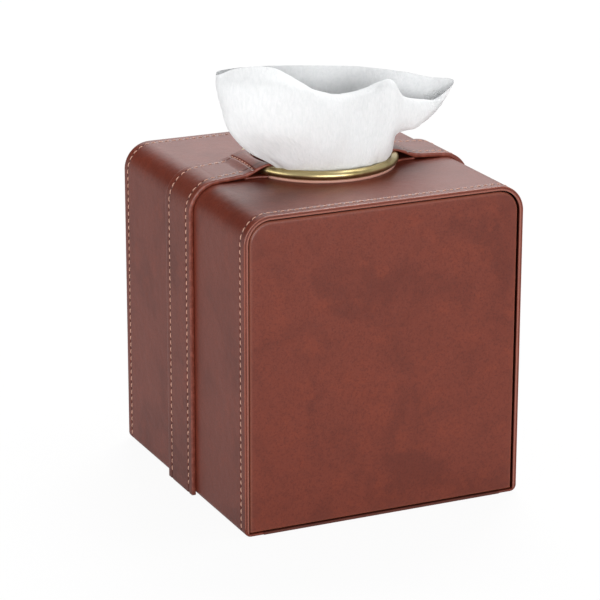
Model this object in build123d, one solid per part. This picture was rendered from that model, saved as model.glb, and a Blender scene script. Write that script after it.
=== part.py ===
from build123d import *
import os
from math import acos, atan2, cos, hypot, radians, sin, sqrt

os.makedirs("parts", exist_ok=True)

# A cube-shaped tissue box cover in brown leather over board. The case is a sleeve
# open at the front, where a drawer with the tissue pile slides in, and closed at the
# back by a fixed panel. A strap crosses the top from each side and is looped round a
# brass ring, through which the next tissue stands up.
# X runs across the front, Y from the front to the back and Z up. The origin is the
# middle of the underside. All sizes are in millimetres.

# The case
body_w = 135.7  # across the side walls, without the straps
body_d = 138.5  # from the front rim to the rear rim
body_h = 146.0  # from the underside to the top leather
corner_r = 12.5  # outer radius of the two top edges
foot_r = 3.0  # outer radius of the two bottom edges
cover_t = 1.1  # outer leather
hem_w = 9.0  # outer leather turned in under the base
facing_t = 0.8  # leather sewn inside both rims
board_t = 3.0  # walls, top and base
lining_t = 0.5  # suede inside the case
rim_edge_r = 0.45  # rounded outer edge of the rims

# Front and back panels, built up from the outside in
skin_t = 1.0  # leather of the panels
pad_t = 1.2  # foam under it
panel_board_t = 3.0
panel_lining_t = 0.5
panel_edge_r = 1.4  # soft edge round the panel's face
panel_gap = 0.7  # gap between a panel and the rim round it
face_recess = 0.2  # the drawer's face lies this far inside the rim
stop_gap = 0.3  # between the drawer's panel and the leather it stops on

# The drawer's tray and the pile in it
tray_board_t = 2.5
tray_h = 40.0  # height of the tray's sides
tray_side_gap = 0.8
tray_back_gap = 1.0
floor_gap = 0.3  # under the tray and under the drawer's panel
pile_gap = 3.0  # between the pile and the tray's sides
pile_h = 98.0
pile_edge_r = 3.0

# Magnets that hold the drawer shut
magnet_r = 2.5
magnet_t = 2.0
strike_t = 1.5  # steel disc in the drawer's board
magnet_inset = 3.5  # from the corner centre, across and up

# Mouth, ring and straps
ring_r = 34.0  # middle of the wire
wire_r = 2.15
mouth_lip = 0.65  # leather that shows inside the ring
seat_rim = 1.35  # leather that shows outside the ring
collar_t = 0.8  # leather lining of the mouth
strap_w = 28.0
strap_t = 2.0
strap_end_t = 1.0  # pared down where it goes round the ring
loop_gap = 0.1
loop_run = 5.1  # from the ring's outside to where the strap is down on its tail
strap_edge_r = 0.5
strap_foot = 0.4  # end of the strap above the table

# The tissue that stands in the mouth
sheet_wall = 0.8  # crumpled double layer
sheet_gap = 0.4  # above the pile
neck_d = 26.0  # its neck in the mouth, front to back
neck_side_gap = 6.7  # from the neck's ends to the mouth
neck_front_gap = 3.7  # from the neck's front to the mouth

# Places worked out from the sizes
half_w = body_w / 2
half_d = body_d / 2
inner_w = body_w - 2 * cover_t
inner_h = body_h - cover_t
corner_x = half_w - corner_r
corner_z = body_h - corner_r
board_x = inner_w / 2 - board_t
floor_z = cover_t + board_t + lining_t
ceiling_z = inner_h - board_t - lining_t
room_x = board_x - lining_t
batten_x = corner_x - lining_t
batten_z = corner_z - lining_t
panel_t = skin_t + pad_t + panel_board_t + panel_lining_t
rim_depth = face_recess + panel_t + stop_gap
face_y = face_recess - half_d
panel_back_y = face_y + panel_t
flange_y = half_d - rim_depth
board_y = flange_y - facing_t
panel_w = inner_w - 2 * facing_t - 2 * panel_gap
panel_top = inner_h - facing_t - panel_gap
panel_foot = cover_t + floor_gap
panel_r = corner_r - cover_t - facing_t - panel_gap
tray_z = floor_z + floor_gap
tray_floor_z = tray_z + tray_board_t
tray_x = room_x - tray_side_gap
tray_y = flange_y - tray_back_gap
pile_z = tray_floor_z + lining_t
pile_top = pile_z + pile_h
pile_x = tray_x - tray_board_t - pile_gap
pile_front = panel_back_y + pile_gap
pile_back = tray_y - tray_board_t - pile_gap
mouth_r = ring_r - wire_r - mouth_lip
collar_r = mouth_r + collar_t
seat_t = strap_end_t + loop_gap
ring_z = body_h + seat_t + wire_r
magnet_x = corner_x + magnet_inset
magnet_z = corner_z + magnet_inset
loop_r = wire_r + loop_gap + strap_end_t
loop_foot_x = ring_r + wire_r + loop_run
tail_top = body_h + strap_end_t
loop_foot_z = tail_top + strap_t
strap_flat = corner_x - loop_foot_x
neck_x = mouth_r - neck_side_gap
neck_y = neck_d / 2
neck_mid = neck_y + neck_front_gap - mouth_r
ring_top = ring_z + wire_r


def block(x0, x1, y0, y1, z0, z1):
    """A box between two corners."""
    box = Box(x1 - x0, y1 - y0, z1 - z0)
    return Pos((x0 + x1) / 2, (y0 + y1) / 2, (z0 + z1) / 2) * box


def arch(width, foot, top, radius, foot_radius=0.0):
    """Outline with round top corners, drawn across X and up Z."""
    face = Pos(0, (foot + top) / 2) * Rectangle(width, top - foot)
    face = fillet(face.vertices().group_by(Axis.Y)[-1], radius)
    if foot_radius > 0:
        face = fillet(face.vertices().group_by(Axis.Y)[0], foot_radius)
    return face


def along_y(face, y0, y1):
    """Carry an outline in X and Z from y0 back to y1."""
    return extrude(Plane.XZ.offset(-y1) * face, amount=y1 - y0)


def outline(points):
    """Flat face through points in X and Z."""
    return make_face(Polyline(*points, close=True))


def core():
    """Everything inside the outer leather, rim to rim."""
    face = arch(inner_w, cover_t, inner_h, corner_r - cover_t, foot_r - cover_t)
    return along_y(face, -half_d, half_d)


def room(grow=0.0):
    """Front outline of the hollow, with the corner battens left standing in it."""
    side = room_x + grow
    step_x = batten_x + grow
    step_z = batten_z + grow
    top = ceiling_z + grow
    foot = floor_z - grow
    return outline(
        [(-side, foot), (side, foot), (side, step_z), (step_x, step_z), (step_x, top),
         (-step_x, top), (-step_x, step_z), (-side, step_z)]
    )


def mouth(radius):
    """Cutter for the round mouth in the top."""
    height = body_h - ceiling_z + 2 * board_t
    return Pos(0, 0, (body_h + ceiling_z) / 2) * Cylinder(radius, height)


def outer_cover():
    """Leather over the sides and the top, turned in under the base."""
    outside = arch(body_w, 0, body_h, corner_r, foot_r)
    inside = arch(inner_w, cover_t, inner_h, corner_r - cover_t, foot_r - cover_t)
    open_base = Pos(0, cover_t / 2) * Rectangle(body_w - 2 * hem_w, cover_t)
    skin = along_y(outside - inside - open_base, -half_d, half_d)
    rims = [
        edge
        for edge in skin.edges()
        if abs(abs(edge.center().Y) - half_d) < 0.01 and on_outside(edge)
    ]
    skin = fillet(rims, min(rim_edge_r, cover_t / 2))
    return skin - mouth(collar_r)


def on_outside(edge):
    """True for a rim edge on the outside of the leather, above the base."""
    middle = edge.center()
    return abs(middle.X) > half_w - 0.01 or middle.Z > body_h - 0.01 or (
        middle.Z > corner_z and hypot(abs(middle.X) - corner_x, middle.Z - corner_z)
        > corner_r - cover_t / 2
    )


def rim_facing():
    """Leather sewn inside the front rim and folded over the ends of the boards."""
    outside = arch(inner_w, cover_t, inner_h, corner_r - cover_t, foot_r - cover_t)
    opening = arch(
        inner_w - 2 * facing_t, cover_t, inner_h - facing_t, corner_r - cover_t - facing_t
    )
    lip = along_y(outside - opening, -half_d, -flange_y)
    flange = along_y(outside - room(), -flange_y, -board_y)
    return lip + flange


def side_board():
    """Right wall, standing on the base."""
    wall = block(board_x, half_w, -board_y, board_y, cover_t + board_t, corner_z)
    return wall & core()


def top_board():
    """Top between the corner battens, with the mouth cut in it."""
    top = block(-corner_x, corner_x, -board_y, board_y, inner_h - board_t, inner_h)
    return top - mouth(collar_r)


def corner_batten():
    """Quarter-round batten that joins the right wall to the top."""
    square = block(corner_x, half_w, -board_y, board_y, corner_z, body_h)
    pocket = disc(magnet_r, -board_y, -board_y + magnet_t)
    return (square & core()) - pocket


def disc(radius, y0, y1):
    """Round disc on the magnet's axis at the right."""
    centre = Pos(magnet_x, (y0 + y1) / 2, magnet_z)
    return centre * Rot(90, 0, 0) * Cylinder(radius, y1 - y0)


def pair(solid):
    """A right-hand solid and its mirror image."""
    return [solid, mirror(solid, about=Plane.YZ)]


def base_board():
    """Base, with its bottom edges rounded to the leather."""
    return block(-half_w, half_w, -board_y, board_y, 0, cover_t + board_t) & core()


def base_cover():
    """Sheet under the base, between the turned-in hems."""
    half = half_w - hem_w
    return block(-half, half, -half_d, half_d, 0, cover_t)


def case_lining():
    """Suede on the inside of the walls, the top and the base."""
    return along_y(room(lining_t) - room(), -board_y, board_y) - mouth(collar_r)


def mouth_collar():
    """Leather that lines the mouth through the top."""
    height = body_h - ceiling_z
    collar = Cylinder(collar_r, height) - Cylinder(mouth_r, height)
    return Pos(0, 0, (body_h + ceiling_z) / 2) * collar


def ring_seat():
    """Leather washer under the ring, parted where the straps' tails lie."""
    washer = Cylinder(ring_r + wire_r + seat_rim, seat_t) - Cylinder(mouth_r, seat_t)
    reach = ring_r + wire_r + seat_rim
    gap = Box(2 * reach, strap_w + 2 * loop_gap, seat_t)
    return Pos(0, 0, body_h + seat_t / 2) * (washer - gap)


def ring():
    """Brass ring that frames the mouth."""
    return Pos(0, 0, ring_z) * Torus(ring_r, wire_r)


def tangent(x, radius, foot_x, foot_z):
    """Where a line from the foot touches the loop, and the angle of that point."""
    along = foot_x - x
    up = foot_z - ring_z
    angle = atan2(up, along) + acos(radius / hypot(along, up))
    return (x + radius * cos(angle), ring_z + radius * sin(angle)), angle


def on_loop(x, radius, angle):
    """Point of a circle round the ring's wire."""
    return (x + radius * cos(angle), ring_z + radius * sin(angle))


def loop_face(y):
    """Outline of the strap's end at y, filled in, from its tail to its nose and back."""
    x = sqrt(ring_r**2 - y**2)
    top, angle = tangent(x, loop_r, loop_foot_x, loop_foot_z)
    under = (x, body_h)
    nose = (x - loop_r, ring_z)
    join_x = loop_foot_x + strap_flat / 10
    lines = [
        ThreePointArc(under, on_loop(x, loop_r, radians(225)), nose),
        ThreePointArc(nose, on_loop(x, loop_r, (radians(180) + angle) / 2), top),
        Polyline(top, (loop_foot_x, loop_foot_z), (join_x, loop_foot_z), (join_x, body_h), under),
    ]
    return Plane.XZ.offset(-y) * make_face(lines)


def wedge_face(y):
    """Outline at y of the hollow between the ring, the strap and its tail."""
    x = sqrt(ring_r**2 - y**2)
    tip = (loop_foot_x - strap_t, tail_top)
    touch, _ = tangent(x, wire_r + loop_gap, *tip)
    return Plane.XZ.offset(-y) * outline([(x, ring_z), (x, tail_top), tip, touch])


def strap():
    """Right strap: up the side, over the corner, along the top and round the ring."""
    end_x = loop_foot_x + 0.6 * strap_flat
    down_x = loop_foot_x + 0.9 * strap_flat
    start_x = loop_foot_x + strap_flat / 10
    outer_r = corner_r + strap_t
    half_turn = radians(45)
    inner = (corner_x + corner_r * cos(half_turn), corner_z + corner_r * sin(half_turn))
    outer = (corner_x + outer_r * cos(half_turn), corner_z + outer_r * sin(half_turn))
    lines = [
        Polyline((start_x, body_h), (start_x, loop_foot_z), (end_x, loop_foot_z),
                 (down_x, body_h + strap_t), (corner_x, body_h + strap_t)),
        ThreePointArc((corner_x, body_h + strap_t), outer, (half_w + strap_t, corner_z)),
        Polyline((half_w + strap_t, corner_z), (half_w + strap_t, strap_foot),
                 (half_w, strap_foot), (half_w, corner_z)),
        ThreePointArc((half_w, corner_z), inner, (corner_x, body_h)),
        Line((corner_x, body_h), (start_x, body_h)),
    ]
    run = along_y(make_face(lines), -strap_w / 2, strap_w / 2)
    edges = [edge for edge in run.edges() if long_edge(edge)]
    run = fillet(edges, min(strap_edge_r, 0.4 * strap_t))
    steps = [strap_w * (step / 4 - 0.5) for step in range(5)]
    end = loft([loop_face(y) for y in steps])
    hollow = loft([wedge_face(y) for y in steps])
    tunnel = Pos(0, 0, ring_z) * Torus(ring_r, wire_r + loop_gap)
    return (end - hollow - tunnel) + run


def long_edge(edge):
    """True for the strap's outer edges, from its foot over the corner to the top."""
    middle = edge.center()
    on_side = abs(abs(middle.Y) - strap_w / 2) < 0.01
    on_wall = middle.X > half_w + strap_t - 0.01
    on_top = middle.Z > body_h + strap_t - 0.01
    on_corner = hypot(middle.X - corner_x, middle.Z - corner_z) > corner_r + strap_t / 2
    in_corner = middle.X > corner_x + 0.01 and middle.Z > corner_z + 0.01
    return on_side and (on_wall or on_top or (in_corner and on_corner))


def panel_layer(inset, y0, y1, edge=0.0):
    """One layer of the front panel, inset from its outline, with a soft front edge."""
    face = arch(
        panel_w - 2 * inset, panel_foot + inset, panel_top - inset, panel_r - inset
    )
    layer = along_y(face, y0, y1)
    if edge > 0:
        layer = fillet(layer.faces().sort_by(Axis.Y)[0].edges(), edge)
    return layer


def panel():
    """The front panel's leather, foam, board and lining, from the outside in."""
    pad_y = face_y + skin_t
    board_front = pad_y + pad_t
    board_back = board_front + panel_board_t
    edge = min(panel_edge_r, skin_t + 0.8 * pad_t)
    inner_edge = max(edge - skin_t, 0.1)
    pocket = panel_layer(skin_t, pad_y, board_back, inner_edge)
    skin = panel_layer(0, face_y, board_back, edge) - pocket
    pad = panel_layer(skin_t, pad_y, board_front, inner_edge)
    board = panel_layer(skin_t, board_front, board_back)
    lining = panel_layer(skin_t, board_back, panel_back_y)
    return skin, pad, board, lining


def back_panel():
    """The same panel turned round and set against the rear ends of the boards."""
    shift = flange_y + panel_back_y
    return [Pos(0, shift, 0) * mirror(layer, about=Plane.XZ) for layer in panel()]


def front_board(board):
    """The drawer's board with pockets for the two steel discs."""
    back = panel_back_y - panel_lining_t
    return board - pair(disc(magnet_r, back - strike_t, back))


def tray_side():
    """Right side of the tray."""
    inside = tray_x - tray_board_t
    return block(inside, tray_x, panel_back_y, tray_y, tray_floor_z, tray_floor_z + tray_h)


def tray_back():
    """Back of the tray, between its sides."""
    half = tray_x - tray_board_t
    return block(-half, half, tray_y - tray_board_t, tray_y, tray_floor_z, tray_floor_z + tray_h)


def tray_floor():
    """Floor of the tray, which runs on the case's lining."""
    return block(-tray_x, tray_x, panel_back_y, tray_y, tray_z, tray_floor_z)


def tray_lining():
    """Suede on the tray's floor."""
    half = tray_x - tray_board_t
    return block(-half, half, panel_back_y, tray_y - tray_board_t, tray_floor_z, pile_z)


def tissue_pile():
    """Pile of folded tissues in the tray."""
    pile = block(-pile_x, pile_x, pile_front, pile_back, pile_z, pile_top)
    return fillet(pile.edges().filter_by(Axis.Z) + pile.edges().group_by(Axis.Z)[-1], pile_edge_r)


# The tissue's outline turns in at these angles. The first number is the angle in
# degrees, seen from above from +X, and the second the share of the full reach.
sheet_creases = [
    (180, 1.0), (222, 0.9), (268, 0.86), (312, 0.9),
    (355, 1.0), (38, 0.88), (88, 0.8), (138, 0.88),
]


def sheet_sections():
    """Height, middle and half reaches of the tissue's outline, from the pile up."""
    top = body_h
    return [
        (pile_top + sheet_gap, 0.0, neck_mid, neck_x, neck_y),
        (ceiling_z, 0.0, neck_mid, neck_x - 1.5, neck_y - 2.0),
        (top, 0.0, neck_mid, neck_x, neck_y),
        (ring_top + sheet_gap, 0.0, neck_mid - 0.5, neck_x + 1.5, neck_y + 1.0),
        (top + 9.5, -1.5, -14.5, 31.5, 16.5),
        (top + 17.0, -4.0, -12.5, 39.0, 18.5),
        (top + 24.0, 0.5, -11.0, 50.0, 20.0),
        (top + 32.0, 3.0, -10.0, 56.0, 21.5),
        (top + 55.0, 4.0, -9.0, 60.0, 23.5),
    ]


def sheet_face(z, x, y, reach_x, reach_y):
    """One level outline of the tissue: a lobe between each two creases."""
    points = [
        (x + reach_x * share * cos(radians(turn)), y + reach_y * share * sin(radians(turn)))
        for turn, share in sheet_creases
    ]
    arcs = []
    for place, (turn, _) in enumerate(sheet_creases):
        after = (place + 1) % len(sheet_creases)
        step = (sheet_creases[after][0] - turn) % 360
        middle = radians(turn + step / 2)
        swell = (x + reach_x * cos(middle), y + reach_y * sin(middle))
        arcs.append(ThreePointArc(points[place], swell, points[after]))
    return Pos(0, 0, z) * make_face(arcs)


def sheet_trim():
    """Cutters for the tissue's free edge: high at the left, with a dip at the front."""
    top = body_h
    above = top + 80.0
    rear = [(-80, top + 50), (-44, top + 50), (-20, top + 47), (20, top + 42), (80, top + 33)]
    front = [(-80, top + 54), (-42, top + 53), (-20, top + 43), (2, top + 31), (24, top + 38),
             (80, top + 32)]
    rear_cut = along_y(outline(rear + [(80, above), (-80, above)]), -80, 80)
    front_cut = along_y(outline(front + [(80, above), (-80, above)]), -80, -14)
    rear_part = block(-80, 80, -14, 80, 0, above)
    return (rear_cut & rear_part) + front_cut


def tissue_sheet():
    """The tissue that stands in the mouth: gathered below, an open fold above."""
    sections = sheet_sections()
    body = loft([sheet_face(*section) for section in sections], ruled=True)
    bowl = [
        (z + sheet_wall, x, y, reach_x - sheet_wall, reach_y - sheet_wall)
        for z, x, y, reach_x, reach_y in sections[4:]
    ]
    hollow = loft([sheet_face(*section) for section in bowl], ruled=True)
    return body - hollow - sheet_trim()


def save(name, shape):
    """Write one node; a list becomes a group of separate solids."""
    if isinstance(shape, list):
        shape = Compound(children=shape)
    shape.label = name
    export_step(shape, f"parts/{name}.step")


def main():
    """Write every piece to its own file."""
    skin, pad, board, lining = panel()
    back_skin, back_pad, back_board, back_lining = back_panel()
    facing = rim_facing()
    wall = side_board()
    batten = corner_batten()
    right_strap = strap()
    right_side = tray_side()
    strike_y = panel_back_y - panel_lining_t
    pieces = {
        "outer_cover": outer_cover(),
        "front_rim_facing": facing,
        "rear_rim_facing": mirror(facing, about=Plane.XZ),
        "right_wall_board": wall,
        "left_wall_board": mirror(wall, about=Plane.YZ),
        "top_board": top_board(),
        "right_corner_batten": batten,
        "left_corner_batten": mirror(batten, about=Plane.YZ),
        "base_board": base_board(),
        "base_cover": base_cover(),
        "case_lining": case_lining(),
        "case_magnets": pair(disc(magnet_r, -board_y, -board_y + magnet_t)),
        "mouth_collar": mouth_collar(),
        "ring_seat": ring_seat(),
        "ring": ring(),
        "right_strap": right_strap,
        "left_strap": mirror(right_strap, about=Plane.YZ),
        "back_panel_leather": back_skin,
        "back_panel_padding": back_pad,
        "back_panel_board": back_board,
        "back_panel_lining": back_lining,
        "drawer_front_leather": skin,
        "drawer_front_padding": pad,
        "drawer_front_board": front_board(board),
        "drawer_front_lining": lining,
        "drawer_strike_discs": pair(disc(magnet_r, strike_y - strike_t, strike_y)),
        "drawer_floor_board": tray_floor(),
        "drawer_floor_lining": tray_lining(),
        "drawer_right_side": right_side,
        "drawer_left_side": mirror(right_side, about=Plane.YZ),
        "drawer_back_board": tray_back(),
        "tissue_pile": tissue_pile(),
        "tissue_sheet": tissue_sheet(),
    }
    for name, shape in pieces.items():
        save(name, shape)
    print(len(pieces), "nodes written")


main()
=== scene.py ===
# %% [markdown]
# # A leather tissue box with a drawer
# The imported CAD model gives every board, strap and ring its place. This file dresses it: it
# replaces the leather, the ring and the tissue with finer pieces, gives the rest a finish,
# and sets a plain pale studio round it. All lengths in Blender are in metres, so the sizes
# below are read from the frame in millimetres and turned back once, where a mesh is made.

# %% Load the fixed frame
import random
from math import acos, asin, atan2, cos, degrees, floor, hypot, pi, radians, sin, sqrt

import bmesh
import bpy
from mathutils import Matrix, Vector, noise


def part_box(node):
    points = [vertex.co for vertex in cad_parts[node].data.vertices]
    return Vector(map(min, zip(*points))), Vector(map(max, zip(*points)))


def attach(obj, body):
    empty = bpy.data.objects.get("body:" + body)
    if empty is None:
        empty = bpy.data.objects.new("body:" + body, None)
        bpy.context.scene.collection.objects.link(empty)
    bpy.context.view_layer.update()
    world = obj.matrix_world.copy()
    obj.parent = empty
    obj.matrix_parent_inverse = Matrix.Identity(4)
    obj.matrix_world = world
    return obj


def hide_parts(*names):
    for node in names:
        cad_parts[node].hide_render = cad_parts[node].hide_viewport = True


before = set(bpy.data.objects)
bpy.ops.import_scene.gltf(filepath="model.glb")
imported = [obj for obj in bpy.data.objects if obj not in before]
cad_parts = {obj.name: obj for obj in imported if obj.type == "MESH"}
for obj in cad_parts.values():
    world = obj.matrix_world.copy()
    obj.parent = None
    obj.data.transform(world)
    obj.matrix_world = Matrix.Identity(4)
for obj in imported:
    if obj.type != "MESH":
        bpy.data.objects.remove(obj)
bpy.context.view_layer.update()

MM = 0.001

# %% [markdown]
# ## The camera
# The straight edges of the box in the photograph fix where the camera stood. The numbers
# below are that fit: how far round and how high it stands, its distance, the little roll, and
# how far the picture's middle lies beside the box's middle. A long lens is used, because the
# upright edges of the box hardly lean towards each other.

# %% Set up the camera
box_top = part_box("outer_cover")[1].z / MM
around, height, roll = radians(-24.933), radians(17.902), radians(0.107)
lens_pixels, distance, aside, above = 2839.4, 1311.923, 8.484, -7.15
picture = 600

back = Vector((sin(around) * cos(height), -cos(around) * cos(height), sin(height)))
level = (-back).cross(Vector((0, 0, 1))).normalized()
upward = level.cross(-back)
right = cos(roll) * level + sin(roll) * upward
upward = cos(roll) * upward - sin(roll) * level
eye = Vector((0, 0, box_top / 2)) + back * distance - right * aside - upward * above

camera = bpy.data.objects.new("camera", bpy.data.cameras.new("camera"))
camera.data.sensor_width = 36
camera.data.lens = lens_pixels / picture * 36
camera.data.clip_end = 20
turn = Matrix((right, upward, back)).transposed().to_4x4()
camera.matrix_world = Matrix.Translation(eye * MM) @ turn
bpy.context.scene.collection.objects.link(camera)
bpy.context.scene.camera = camera
print("camera at", [round(v) for v in eye], "mm, lens", round(camera.data.lens, 1), "mm")

# %% [markdown]
# ## Sizes from the frame
# The replaced pieces must sit exactly where the CAD has them, so their main sizes come from the nodes' boxes; a few
# radii and thicknesses are given as numbers.

# %% Read the main sizes
half_w, half_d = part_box("outer_cover")[1].x / MM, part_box("outer_cover")[1].y / MM
corner_r, foot_r, cover_t, facing_t = 12.5, 3.0, 1.1, 0.8
hem_w = half_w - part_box("base_cover")[1].x / MM
corner_x, corner_z = half_w - corner_r, box_top - corner_r
foot_x = half_w - foot_r
ring_low, ring_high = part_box("ring")
wire_r = (ring_high.z - ring_low.z) / MM / 2
ring_r = ring_high.x / MM - wire_r
ring_z = (ring_high.z + ring_low.z) / MM / 2
strap_low, strap_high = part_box("right_strap")
strap_t, strap_half = strap_high.x / MM - half_w, strap_high.y / MM
panel_low, panel_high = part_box("drawer_front_leather")
seat_high, seat_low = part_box("ring_seat")[1] / MM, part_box("ring_seat")[0] / MM
mouth_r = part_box("mouth_collar")[1].x / MM - facing_t
print("case", 2 * half_w, 2 * half_d, box_top, "ring", ring_r, wire_r, ring_z, "strap", strap_t, strap_half)

# %% [markdown]
# ## Nodes as plain sums
# A material is a set of nodes joined by wires. Written out one by one they are hard to read,
# so a small class wraps one wire and lets Python's own signs add the Math node that is
# needed. Colours must not go through a Math node, which would turn them grey, so they are
# blended with a Mix node.

# %% A wire that can be added, scaled and mapped
class Wire:
    """One output of a node; a sign on it adds the Math node for that sum."""

    def __init__(self, tree, socket):
        self.tree, self.socket = tree, socket

    def sum(self, operation, *values):
        node = self.tree.nodes.new("ShaderNodeMath")
        node.operation = operation
        for place, value in zip(node.inputs, values):
            feed(self.tree, place, value)
        return Wire(self.tree, node.outputs[0])

    def __add__(self, other):
        return self.sum("ADD", self, other)

    __radd__ = __add__

    def __sub__(self, other):
        return self.sum("SUBTRACT", self, other)

    def __rsub__(self, other):
        return self.sum("SUBTRACT", other, self)

    def __mul__(self, other):
        return self.sum("MULTIPLY", self, other)

    __rmul__ = __mul__

    def size(self):
        return self.sum("ABSOLUTE", self)

    def between(self, low, high):
        """0 below low, 1 above high and a soft step from one to the other."""
        node = self.tree.nodes.new("ShaderNodeMapRange")
        node.interpolation_type = "SMOOTHSTEP"
        for name, value in (("Value", self), ("From Min", low), ("From Max", high)):
            feed(self.tree, node.inputs[name], value)
        return Wire(self.tree, node.outputs[0])


def feed(tree, place, value):
    """Join a wire to a socket, or set the socket to a plain value."""
    if isinstance(value, Wire):
        tree.links.new(value.socket, place)
    else:
        place.default_value = value


# %% [markdown]
# ## A bench for one finish
# Every finish starts from the same few moves: take the place on the object, look up noise at
# some scale, blend two colours by it, and press the same noise into the surface as a bump.
# The bench keeps these moves short. The place is the object's own, in metres, so the grain
# has its real size and travels with the piece.

# %% The bench
def tint(red, green, blue):
    """A colour as the eye reads it, 0 to 255, turned into light values for a shader."""
    def light(value):
        value /= 255
        return value / 12.92 if value <= 0.04045 else ((value + 0.055) / 1.055) ** 2.4
    return (light(red), light(green), light(blue), 1.0)


class Finish:
    """A material under way."""

    def __init__(self, name, **fixed):
        self.material = bpy.data.materials.new(name)
        self.material.use_nodes = True
        self.tree = self.material.node_tree
        self.shader = self.tree.nodes["Principled BSDF"]
        self.place = self.add("ShaderNodeTexCoord", take="Object")
        self.x, self.y, self.z = self.split(self.place)
        self.set(**fixed)

    def add(self, kind, settings=None, sockets=None, take=0):
        node = self.tree.nodes.new(kind)
        for name, value in (settings or {}).items():
            setattr(node, name, value)
        for name, value in (sockets or {}).items():
            feed(self.tree, node.inputs[name], value)
        return Wire(self.tree, node.outputs[take])

    def set(self, **values):
        for name, value in values.items():
            socket = name.replace("_", " ").title().replace("Ior", "IOR")
            feed(self.tree, self.shader.inputs[socket], value)

    def split(self, vector):
        node = self.add("ShaderNodeSeparateXYZ", sockets={"Vector": vector}).socket.node
        return [Wire(self.tree, socket) for socket in node.outputs]

    def stretched(self, *factors):
        return self.add("ShaderNodeVectorMath", {"operation": "MULTIPLY"},
                        {0: self.place, 1: factors})

    def cloud(self, scale, detail=3.0, rough=0.55, place=None, twist=0.0):
        """Soft noise, with scale patches to the metre."""
        sockets = {"Vector": place or self.place, "Scale": scale, "Detail": detail,
                   "Roughness": rough, "Distortion": twist}
        return self.add("ShaderNodeTexNoise", sockets=sockets)

    def cells(self, scale, place=None, loose=1.0):
        """Rounded cells, with scale cells to the metre."""
        sockets = {"Vector": place or self.place, "Scale": scale, "Randomness": loose,
                   "Smoothness": 0.35}
        return self.add("ShaderNodeTexVoronoi", {"feature": "SMOOTH_F1"}, sockets)

    def blend(self, first, second, share):
        node = self.add("ShaderNodeMix", {"data_type": "RGBA"}).socket.node
        for place, value in ((0, share), (6, first), (7, second)):
            feed(self.tree, node.inputs[place], value)
        return Wire(self.tree, node.outputs[2])

    def press(self, height, depth, under=None):
        """A bump of the given depth in metres, on top of another bump if there is one."""
        sockets = {"Height": height, "Distance": depth, "Strength": 1.0}
        if under:
            sockets["Normal"] = under
        return self.add("ShaderNodeBump", sockets=sockets)


print("bench ready")

# %% [markdown]
# ## The leather
# The real leather is a smooth brown hide with a soft pull-up finish: a red-brown ground with darker and redder clouds
# a finger wide, fine speckle, and a grain so low that it only breaks up the sheen. Three sizes of noise give the
# colour, and rounded cells half a millimetre wide give the grain. The cut edges are burnished smoother, and their
# lighter colour is partly burnish and partly a painted highlight, so a mask that follows the distance from the edge
# changes colour and roughness together.

# %% Smooth brown leather
stitch_inset, strap_row = 4.5, 9.7


def leather(name, edge_mask, ground=(115, 50, 35), shade=(88, 34, 23), warm=(128, 55, 35),
            edge=(178, 112, 92), wear_and_highlight_share=0.45, row=None, gap_shade_mask=None, shine=0.34):
    """Leather whose edges follow edge_mask, where the colour is lighter partly from wear and partly as a painted
    highlight; row is a stitch row's distance from y = 0, and its channel is darkened as painted shade; the last mask
    marks what lies deep in a seam, which is darkened as painted shade."""
    hide = Finish(name, specular_ior_level=shine, coat_roughness=0.25)
    clouds = hide.cloud(38, 4, 0.6, twist=0.6)
    patches = hide.cloud(95, 5, 0.62)
    speckle = hide.cloud(1150, 4, 0.75)
    colour = hide.blend(tint(*ground), tint(*shade), clouds.between(0.42, 0.68) * 0.5)
    colour = hide.blend(colour, tint(*warm), patches.between(0.48, 0.72) * 0.5)
    colour = hide.blend(colour, tint(*shade), speckle.between(0.44, 0.66) * 0.65)
    scuffs = hide.cloud(160, 6, 0.75, place=hide.stretched(1.0, 1.0, 5.0))
    colour = hide.blend(colour, tint(*edge), scuffs.between(0.66, 0.8) * 0.2)
    # Lighter edges: partly wear, partly a painted highlight.
    wear_and_highlight_mask = edge_mask(hide)
    colour = hide.blend(colour, tint(*edge), wear_and_highlight_mask * wear_and_highlight_share)
    if row:
        # Painted shade: the stitch channel is darkened along the row.
        painted_channel_shade = 1.0 - (hide.y.size() - row * MM).size().between(0.25 * MM, 0.8 * MM)
        colour = hide.blend(colour, tint(58, 20, 13), painted_channel_shade * 0.6)
    if gap_shade_mask:
        # Painted shade: what lies deep in a gap is darkened nearly to black.
        colour = hide.blend(colour, tint(30, 8, 5), gap_shade_mask(hide) * 0.9)
    grain = hide.cells(1750)
    pores = hide.cloud(2600, 2)
    swell = hide.cloud(210, 3)
    normal = hide.press(swell, 0.00016)
    normal = hide.press(grain * 0.7 + pores * 0.5, 0.00002, normal)
    rough = 0.29 + 0.10 * clouds + 0.08 * speckle - 0.10 * wear_and_highlight_mask
    hide.set(base_color=colour, roughness=rough, coat_weight=0.3 * wear_and_highlight_mask, normal=normal)
    return hide.material


def rim_wear_and_highlight(hide):
    """Lighter along the curl of the case's edges, above the hems: partly wear, partly a painted highlight."""
    from_middle = hide.y.size()
    curl = (from_middle.between((half_d - 0.45) * MM, (half_d - 0.22) * MM)
            - from_middle.between((half_d - 0.08) * MM, (half_d - 0.01) * MM))
    return curl * hide.z.between(3 * MM, 5 * MM)


def facing_wear_and_highlight(hide):
    """Lighter on the facing's front edge: partly wear, partly a painted highlight."""
    return hide.y.size().between((half_d - 0.5) * MM, (half_d - 0.1) * MM)


def facing_gap_shade(hide):
    """The side of the facing inside the gap, darkened as painted shade."""
    return 1.0 - hide.y.size().between((half_d - 1.0) * MM, (half_d - 0.3) * MM)


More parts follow.
